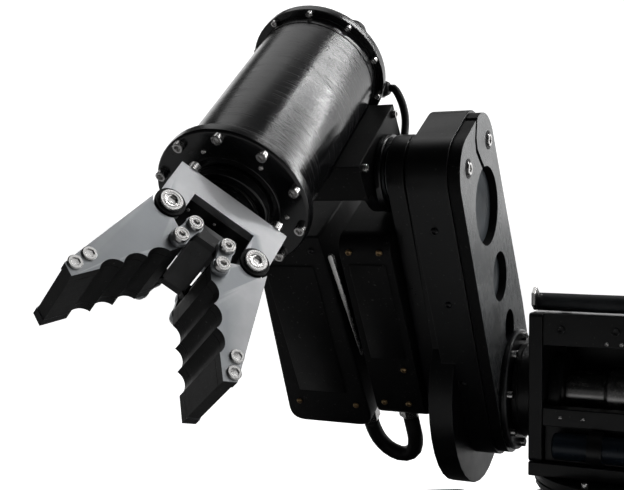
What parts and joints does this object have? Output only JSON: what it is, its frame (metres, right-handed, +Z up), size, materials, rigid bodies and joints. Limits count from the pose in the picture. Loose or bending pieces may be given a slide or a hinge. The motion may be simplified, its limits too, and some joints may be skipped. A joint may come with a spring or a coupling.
{
  "type": "desktop robot arm",
  "caption": "Black machined manipulator arm on a slewing base, with a yoke upper arm, round rolling wrist and a pale scalloped gripper.",
  "frame": {"origin": "on the slew axis at the bottom face of the base plate", "axes": "+Z up along the slew axis, +X along the shoulder and elbow axes from the arm towards the shoulder drive, -Y the way the arm reaches"},
  "size_m": [0.4, 0.4718, 0.4077],
  "materials": {
    "black_anodised": "satin black hard anodised",
    "black_painted_steel": "satin black paint on steel",
    "grey_anodised": "grey anodised, bead blasted",
    "satin_aluminium": "machined satin clear anodised",
    "stainless_steel": "turned stainless steel",
    "black_rubber": "matt extruded jacket",
    "black_plastic": "moulded nylon"
  },
  "bodies": {
    "base": {"base_plate": "black_painted_steel", "slew_housing": "black_painted_steel"},
    "turntable": {"slew_turntable": "black_anodised", "frame_floor": "black_anodised", "frame_left_plate": "black_anodised", "frame_right_plate": "black_anodised", "frame_top_beam": "black_anodised", "frame_rear_wall": "black_anodised", "frame_front_rail": "black_anodised", "shoulder_gearbox": "black_anodised", "shoulder_motor": "stainless_steel", "shoulder_bearing": "black_anodised", "drive_tube": "black_anodised", "tube_clamp_left": "stainless_steel", "tube_clamp_right": "stainless_steel", "frame_hose": "black_rubber", "hose_gland_left": "stainless_steel", "hose_gland_right": "stainless_steel"},
    "upper_arm": {"cheek_inner": "black_anodised", "cheek_body": "black_anodised", "cheek_cover": "grey_anodised", "inner_housing": "black_anodised", "left_housing": "black_anodised", "cross_member": "black_anodised", "shoulder_hub": "black_anodised", "elbow_barrel": "satin_aluminium", "loop_hose": "black_rubber", "loop_gland_left": "stainless_steel", "loop_gland_right": "stainless_steel"},
    "forearm": {"elbow_disc": "satin_aluminium", "forearm_saddle": "black_anodised", "wrist_tube": "black_anodised", "wrist_flange": "black_anodised", "wrist_rear_cap": "black_anodised", "wrist_gearmotor": "stainless_steel", "rear_block": "black_anodised", "cable_gland": "black_plastic", "forearm_cable": "black_rubber"},
    "gripper_head": {"wrist_hub": "black_anodised", "yoke_block": "black_anodised", "yoke_front_plate": "satin_aluminium", "yoke_rear_plate": "satin_aluminium", "pivot_pin_left": "stainless_steel", "pivot_pin_right": "stainless_steel"},
    "crosshead": {"crosshead": "black_anodised", "push_rod": "stainless_steel", "crosshead_pin_left": "stainless_steel", "crosshead_pin_right": "stainless_steel"},
    "jaw_left": {"jaw_core_left": "black_anodised", "jaw_front_plate_left": "satin_aluminium", "jaw_rear_plate_left": "satin_aluminium", "jaw_pin_left": "stainless_steel"},
    "jaw_right": {"jaw_core_right": "black_anodised", "jaw_front_plate_right": "satin_aluminium", "jaw_rear_plate_right": "satin_aluminium", "jaw_pin_right": "stainless_steel"},
    "link_left": {"link_front_left": "satin_aluminium", "link_rear_left": "satin_aluminium"},
    "link_right": {"link_front_right": "satin_aluminium", "link_rear_right": "satin_aluminium"}
  },
  "joints": [
    {"name": "slew", "type": "hinge", "parent": "base", "child": "turntable", "pos_m": [0, 0, 0.0575], "axis": [0, 0, 1], "range_deg": [-60, 60]},
    {"name": "shoulder_pitch", "type": "hinge", "parent": "turntable", "child": "upper_arm", "pos_m": [-0.085, 0, 0.125], "axis": [1, 0, 0], "range_deg": [-40, 10]},
    {"name": "elbow_pitch", "type": "hinge", "parent": "upper_arm", "child": "forearm", "pos_m": [-0.152, -0.09786, 0.28786], "axis": [1, 0, 0], "range_deg": [-38, 20]},
    {"name": "wrist_roll", "type": "hinge", "parent": "forearm", "child": "gripper_head", "pos_m": [-0.215, -0.22001, 0.26718], "axis": [0, -0.7986, -0.6018], "continuous": true},
    {"name": "jaw_right_pivot", "type": "hinge", "parent": "gripper_head", "child": "jaw_right", "pos_m": [-0.19488, -0.25215, 0.21595], "axis": [-0.7314, 0.4104, -0.5447], "range_deg": [-0.5, 33]},
    {"name": "jaw_left_pivot", "type": "hinge", "parent": "gripper_head", "child": "jaw_left", "pos_m": [-0.23512, -0.27812, 0.25041], "axis": [0.7314, -0.4104, 0.5447], "range_deg": [-0.6, 33.1]},
    {"name": "crosshead_slide", "type": "slide", "parent": "gripper_head", "child": "crosshead", "axis": [0, 0.7986, 0.6018], "range_m": [-0.0004, 0.01106]},
    {"name": "link_right_pivot", "type": "hinge", "parent": "crosshead", "child": "link_right", "pos_m": [-0.20743, -0.2652, 0.22297], "axis": [-0.7314, 0.4104, -0.5447], "range_deg": [-1, 35.4]},
    {"name": "link_left_pivot", "type": "hinge", "parent": "crosshead", "child": "link_left", "pos_m": [-0.22257, -0.27497, 0.23593], "axis": [0.7314, -0.4104, 0.5447], "range_deg": [-1, 35.4]}
  ],
  "couplings": [
    {"joint": "jaw_left_pivot", "follows": "jaw_right_pivot", "ratio": 1},
    {"joint": "crosshead_slide", "follows": "jaw_right_pivot", "m_per_rad": 0.018856},
    {"joint": "link_right_pivot", "follows": "jaw_right_pivot", "ratio": 1.0561},
    {"joint": "link_left_pivot", "follows": "jaw_right_pivot", "ratio": 1.0561}
  ]
}
